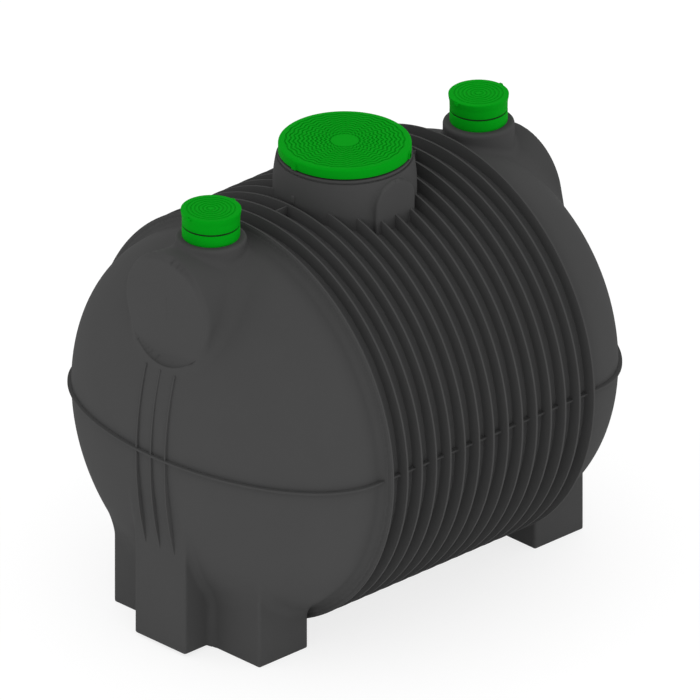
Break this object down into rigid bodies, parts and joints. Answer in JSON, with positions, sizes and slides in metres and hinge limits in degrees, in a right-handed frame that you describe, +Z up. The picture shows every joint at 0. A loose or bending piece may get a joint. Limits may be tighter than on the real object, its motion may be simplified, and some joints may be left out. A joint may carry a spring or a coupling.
{
  "type": "septic tank",
  "caption": "Ribbed barrel septic tank with domed ends on moulded feet, a central manhole and an access cap at each end.",
  "frame": {"origin": "on the ground under the middle of the tank", "axes": "+X along the tank towards the outlet end, +Y across it, +Z up"},
  "size_m": [2.0378, 1.6, 1.773],
  "materials": {
    "tank_plastic": "matt black moulded polyethylene with a fine grain",
    "cover_plastic": "matt green moulded polyethylene",
    "seal_rubber": "black rubber"
  },
  "bodies": {
    "root": {"barrel_upper_left": "tank_plastic", "barrel_upper_right": "tank_plastic", "barrel_crown_inlet": "tank_plastic", "barrel_crown_outlet": "tank_plastic", "barrel_lower_left": "tank_plastic", "barrel_lower_right": "tank_plastic", "barrel_base": "tank_plastic", "manhole_neck": "tank_plastic", "neck_pad_left": "tank_plastic", "neck_pad_right": "tank_plastic", "manhole_gasket": "seal_rubber", "manhole_lid": "cover_plastic", "lid_lock_inlet": "cover_plastic", "lid_lock_left": "cover_plastic", "lid_lock_right": "cover_plastic", "inlet_end_upper": "tank_plastic", "inlet_end_lower": "tank_plastic", "inlet_foot_left": "tank_plastic", "inlet_foot_right": "tank_plastic", "inlet_foot_middle": "tank_plastic", "inlet_end_stiffeners": "tank_plastic", "inlet_pipe_pad": "tank_plastic", "inlet_pad_shoulder_left": "tank_plastic", "inlet_pad_shoulder_right": "tank_plastic", "inlet_access_collar": "tank_plastic", "inlet_crown_web": "tank_plastic", "inlet_access_riser": "cover_plastic", "inlet_access_cap": "cover_plastic", "inlet_cap_seal": "seal_rubber", "outlet_end_upper": "tank_plastic", "outlet_end_lower": "tank_plastic", "outlet_foot_left": "tank_plastic", "outlet_foot_right": "tank_plastic", "outlet_foot_middle": "tank_plastic", "outlet_end_stiffeners": "tank_plastic", "outlet_pipe_pad": "tank_plastic", "outlet_pad_shoulder_left": "tank_plastic", "outlet_pad_shoulder_right": "tank_plastic", "outlet_access_collar": "tank_plastic", "outlet_crown_web": "tank_plastic", "outlet_access_riser": "cover_plastic", "outlet_access_cap": "cover_plastic", "outlet_cap_seal": "seal_rubber"}
  },
  "joints": []
}
